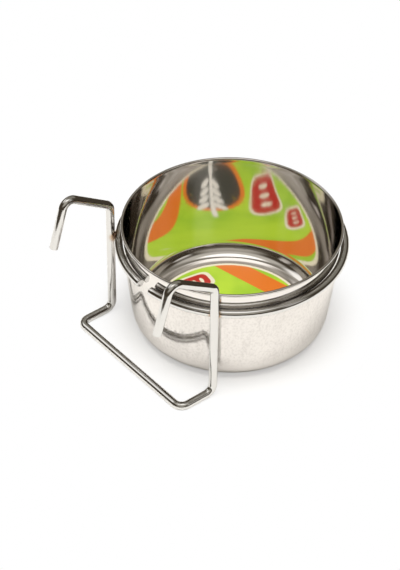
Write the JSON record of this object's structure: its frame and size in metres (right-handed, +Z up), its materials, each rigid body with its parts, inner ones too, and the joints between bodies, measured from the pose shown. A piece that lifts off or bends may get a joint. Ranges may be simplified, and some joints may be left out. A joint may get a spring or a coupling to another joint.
{
  "type": "hook-on coop cup",
  "caption": "Hook-on steel feeding cup for a cage: a drawn, tapered cup with a rolled rim sits in an open wire ring welded to a bent wire hanger with two hooks.",
  "frame": {"origin": "centre of the cup's flat base, on the surface that the cup stands on", "axes": "+Z up along the cup's axis; the hanger is on the -Y side with its hooks pointing towards -Y; +X to the right when looking from the cup towards +Y"},
  "size_m": [0.1003, 0.12, 0.0723],
  "materials": {
    "cup_steel": "mirror-polished drawn stainless steel with faint fingerprints and hairline scratches",
    "wire_steel": "bright polished round steel wire",
    "label_film": null,
    "weld_steel": "resistance weld with brown and straw heat tint"
  },
  "bodies": {
    "holder": {"holder_ring": "wire_steel", "hanger_wire": "wire_steel", "weld_left": "weld_steel", "weld_right": "weld_steel"},
    "cup": {"cup": "cup_steel", "label": "label_film"}
  },
  "joints": [
    {"name": "cup_lift", "type": "slide", "parent": "holder", "child": "cup", "axis": [0, 0, 1], "range_m": [0, 0.06]}
  ]
}
